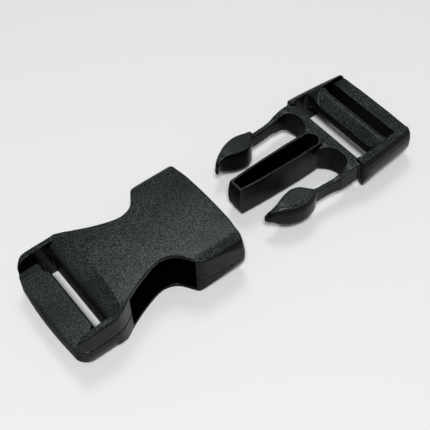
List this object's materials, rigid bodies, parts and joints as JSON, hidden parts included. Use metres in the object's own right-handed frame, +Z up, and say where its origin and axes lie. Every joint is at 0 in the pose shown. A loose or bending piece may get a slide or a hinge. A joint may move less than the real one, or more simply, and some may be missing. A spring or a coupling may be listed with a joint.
{
  "type": "side-release buckle",
  "caption": "Black plastic side-release buckle for webbing, shown open: hollow socket half and forked plug half lying in line.",
  "frame": {"origin": "middle of the bounding box of both halves as they lie, on the surface that they rest on", "axes": "+X along the buckle from the socket's strap end to the plug's strap end, +Y across it, +Z up"},
  "size_m": [0.1056, 0.0312, 0.0132],
  "materials": {
    "moulded_plastic": "fine spark grain on the tops, smoother sides"
  },
  "bodies": {
    "socket_half": {"socket": "moulded_plastic"},
    "plug_half": {"plug_frame": "moulded_plastic"},
    "left_arm": {"arm_left": "moulded_plastic"},
    "right_arm": {"arm_right": "moulded_plastic"}
  },
  "joints": [
    {"name": "plug_slide", "type": "slide", "parent": "socket_half", "child": "plug_half", "axis": [-1, 0, 0], "range_m": [0, 0.03855], "deforming": ["arm_left", "arm_right"]},
    {"name": "left_arm_bend", "type": "hinge", "parent": "plug_half", "child": "left_arm", "pos_m": [0.0284, 0.013, 0.006], "axis": [0, 0, 1], "range_deg": [0, 10], "stiffness_Nm_per_rad": 1.2},
    {"name": "right_arm_bend", "type": "hinge", "parent": "plug_half", "child": "right_arm", "pos_m": [0.0284, -0.013, 0.006], "axis": [0, 0, -1], "range_deg": [0, 10], "stiffness_Nm_per_rad": 1.2}
  ]
}
